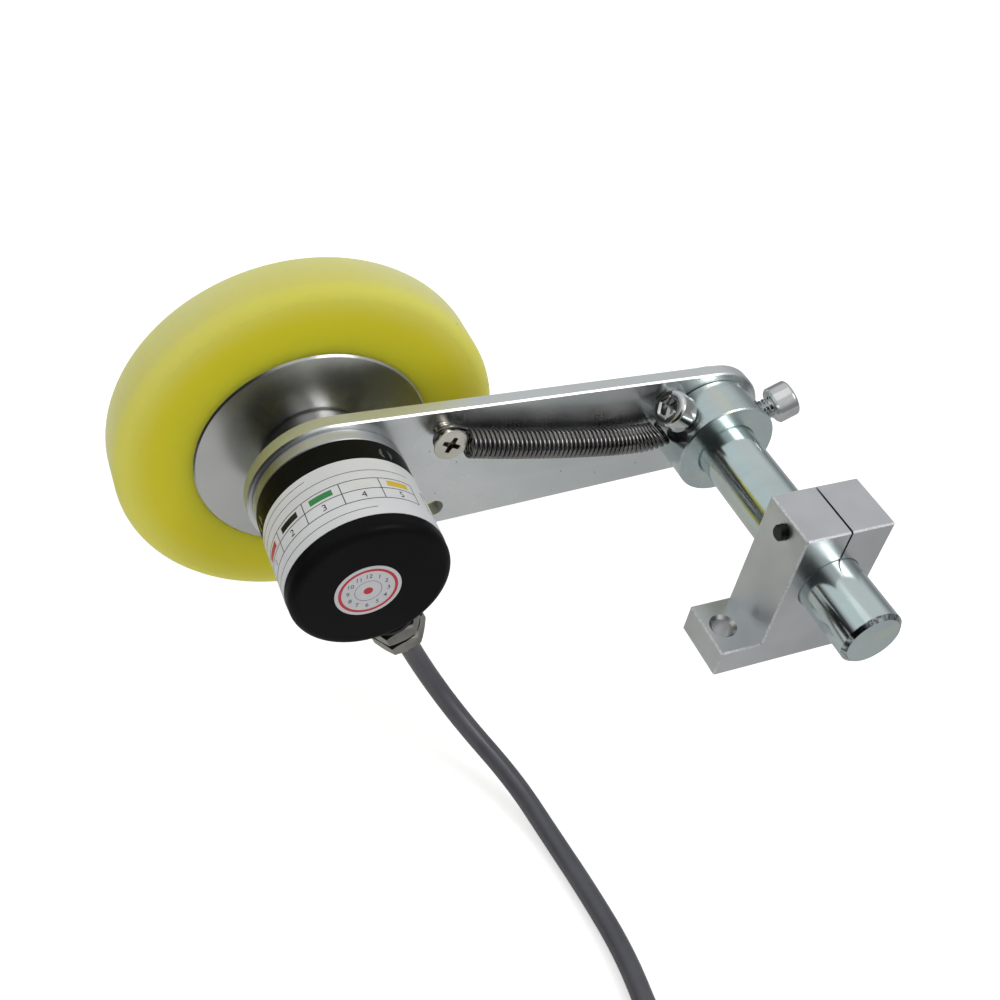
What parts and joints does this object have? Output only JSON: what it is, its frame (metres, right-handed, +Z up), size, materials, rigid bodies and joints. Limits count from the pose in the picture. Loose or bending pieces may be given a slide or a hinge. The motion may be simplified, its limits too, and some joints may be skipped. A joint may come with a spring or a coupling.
{
  "type": "measuring wheel encoder",
  "caption": "Rotary encoder with a rubber treaded measuring wheel on a sprung swing arm, held on a round shaft in a clamping shaft support with a bolted foot.",
  "frame": {"origin": "centre of the shaft support's foot, on its underside", "axes": "+Z up out of the foot, +Y along the support shaft from its free front end towards the wheel, the swing arm reaches towards -X"},
  "size_m": [0.1762, 0.2162, 0.1179],
  "materials": {
    "anodised_block": "satin silver grey anodising",
    "black_screw": "black oxide",
    "zinc_plate": "bright zinc plated steel",
    "plated_screw": "bright plated",
    "arm_aluminium": "satin, clear anodised",
    "bush_bronze": "plain bronze",
    "spring_steel": "drawn spring wire",
    "cover_black": "matte black",
    "label_foil": "printed silver foil",
    "sticker": "printed film",
    "bearing_steel": "ground",
    "board_green": "solder mask",
    "sensor_black": "moulded",
    "disc_glass": "clear with a metal track",
    "hub_aluminium": "turned",
    "seal_rubber": "black",
    "gland_nickel": "nickel plated brass",
    "tyre_yellow": "cast polyurethane, matte",
    "cable_grey": "grey sheath",
    "tie_black": "black strap",
    "lead_red": "insulation",
    "lead_black": "insulation",
    "lead_green": "insulation",
    "lead_white": "insulation",
    "lead_yellow": "insulation",
    "tinned": "tinned copper"
  },
  "bodies": {
    "support": {"shaft_support": "anodised_block", "clamp_screw": "black_screw"},
    "shaft": {"support_shaft": "zinc_plate", "thrust_washer": "zinc_plate", "retaining_ring": "black_screw"},
    "collar": {"set_collar": "zinc_plate", "collar_screws": "plated_screw"},
    "arm": {"arm_plate": "arm_aluminium", "pivot_bush": "bush_bronze", "spring_post": "plated_screw", "flange_screws": "zinc_plate", "spring": "spring_steel", "encoder_flange": "arm_aluminium", "encoder_cover": "cover_black", "cover_screws": "cover_black", "cover_seal": "seal_rubber", "label_band": "label_foil", "rear_sticker": "sticker", "front_bearing": "bearing_steel", "rear_bearing": "bearing_steel", "circuit_board": "board_green", "board_posts": "bush_bronze", "photo_sensor": "sensor_black", "light_source": "sensor_black", "gland_washer": "seal_rubber", "gland_body": "gland_nickel", "gland_nut": "gland_nickel", "gland_seal": "seal_rubber", "cable": "cable_grey", "cable_coil": "cable_grey", "coil_tie": "tie_black", "cable_tail": "cable_grey", "end_sleeve": "tie_black", "lead_red": "lead_red", "lead_black": "lead_black", "lead_green": "lead_green", "lead_white": "lead_white", "lead_yellow": "lead_yellow", "lead_tips": "tinned"},
    "wheel": {"wheel_hub": "hub_aluminium", "hub_screws": "black_screw", "tyre": "tyre_yellow", "encoder_shaft": "bearing_steel", "code_disc": "disc_glass", "disc_hub": "hub_aluminium"}
  },
  "joints": [
    {"name": "shaft_slide", "type": "slide", "parent": "support", "child": "shaft", "axis": [0, 1, 0], "range_m": [-0.032, 0.018]},
    {"name": "collar_turn", "type": "hinge", "parent": "shaft", "child": "collar", "pos_m": [0, 0.0467, 0.027], "axis": [0, 1, 0], "range_deg": [0, 40]},
    {"name": "arm_swing", "type": "hinge", "parent": "collar", "child": "arm", "pos_m": [0, 0.0549, 0.027], "axis": [0, 1, 0], "range_deg": [-12, 30], "stiffness_Nm_per_rad": 0.12, "springref_deg": 162.34, "deforming": ["spring"]},
    {"name": "wheel_spin", "type": "hinge", "parent": "arm", "child": "wheel", "pos_m": [-0.10448, 0.0744, 0.02518], "axis": [0, 1, 0], "continuous": true}
  ]
}
